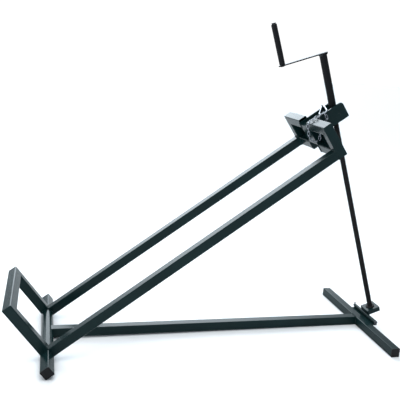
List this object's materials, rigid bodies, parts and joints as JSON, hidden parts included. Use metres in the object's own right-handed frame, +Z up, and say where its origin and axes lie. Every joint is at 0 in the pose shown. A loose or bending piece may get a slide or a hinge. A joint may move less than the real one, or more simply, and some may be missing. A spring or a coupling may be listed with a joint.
{
  "type": "ride-on mower lift",
  "caption": "Crank-screw lift for a ride-on mower: long base, hinged lifting frame with a cradle, lead screw on a tilting foot, crank with turning grip, and a safety chain.",
  "frame": {"origin": "middle of the footprint on the ground, at the raised position", "axes": "+X along the base from the pivot towards the foot, +Y across, +Z up"},
  "size_m": [1.292, 0.5, 1.0163],
  "materials": {
    "frame_paint": "gloss powder coat, very dark green",
    "crank_paint": "satin black paint",
    "dark_steel": "oiled dark steel",
    "plated_steel": "zinc plated",
    "bright_zinc": "bright zinc",
    "bronze": "sintered bronze, satin",
    "cap_plastic": "black plastic",
    "grip_plastic": "black grip plastic"
  },
  "bodies": {
    "base": {"base_beam": "frame_paint", "base_crossbar": "frame_paint", "base_crossbar_caps": "cap_plastic", "hinge_base_knuckles": "frame_paint", "hinge_leaf": "frame_paint", "hinge_pin": "plated_steel", "hinge_split_pin": "plated_steel", "pivot_sleeve": "frame_paint"},
    "trunnion": {"trunnion_nut": "dark_steel", "trunnion_pins": "frame_paint", "nut_washer": "dark_steel"},
    "foot": {"foot_block": "frame_paint", "foot_knuckle": "frame_paint", "foot_bush": "bronze"},
    "screw": {"lead_screw": "dark_steel", "crank_tube": "crank_paint", "crank_bar": "crank_paint", "crank_weld": "crank_paint", "roll_pin": "plated_steel", "grip_spindle": "crank_paint", "thrust_washer": "dark_steel", "retaining_nut": "plated_steel"},
    "grip": {"grip": "grip_plastic"},
    "gate": {"snap_gate": "bright_zinc"},
    "lift_frame": {"back_plate": "frame_paint", "bottom_rail_far": "frame_paint", "bottom_rail_near": "frame_paint", "chain_anchor": "frame_paint", "end_bar": "frame_paint", "ground_stub_far": "frame_paint", "ground_stub_near": "frame_paint", "head_cheek_far": "frame_paint", "head_cheek_near": "frame_paint", "head_front_plate": "frame_paint", "head_top_plate": "frame_paint", "hook_eye": "frame_paint", "long_arm_far": "frame_paint", "long_arm_near": "frame_paint", "pivot_axle": "plated_steel", "pivot_washers": "plated_steel", "safety_chain": "bright_zinc", "short_arm_far": "frame_paint", "short_arm_near": "frame_paint", "snap_hook": "bright_zinc", "stub_caps": "cap_plastic", "top_rail_far": "frame_paint", "top_rail_near": "frame_paint", "upright_far": "frame_paint", "upright_near": "frame_paint"}
  },
  "joints": [
    {"name": "arm_lift", "type": "hinge", "parent": "base", "child": "lift_frame", "pos_m": [-0.52142, 0, 0.02097], "axis": [0, -1, 0], "range_deg": [-33.3, 0]},
    {"name": "foot_tilt", "type": "hinge", "parent": "base", "child": "foot", "pos_m": [0.60158, 0, 0.0345], "axis": [0, -1, 0], "range_deg": [-18, 0]},
    {"name": "nut_tilt", "type": "hinge", "parent": "lift_frame", "child": "trunnion", "pos_m": [0.37305, 0, 0.74751], "axis": [0, -1, 0], "range_deg": [0, 15.5]},
    {"name": "crank_turn", "type": "hinge", "parent": "foot", "child": "screw", "pos_m": [0.61706, 0, 0.0637], "axis": [-0.3361, 0, 0.9418], "continuous": true},
    {"name": "grip_spin", "type": "hinge", "parent": "screw", "child": "grip", "pos_m": [0.17555, 0, 0.88885], "axis": [-0.3361, 0, 0.9418], "continuous": true},
    {"name": "gate_swing", "type": "hinge", "parent": "lift_frame", "child": "gate", "pos_m": [0.34119, 0.01043, 0.77039], "axis": [0.592, 0, -0.8059], "range_deg": [0, 20], "stiffness_Nm_per_rad": 0.05, "springref_deg": -11.46}
  ],
  "couplings": [
    {"joint": "foot_tilt", "follows": "arm_lift", "ratio": 0.5375},
    {"joint": "nut_tilt", "follows": "arm_lift", "ratio": -0.4625}
  ]
}
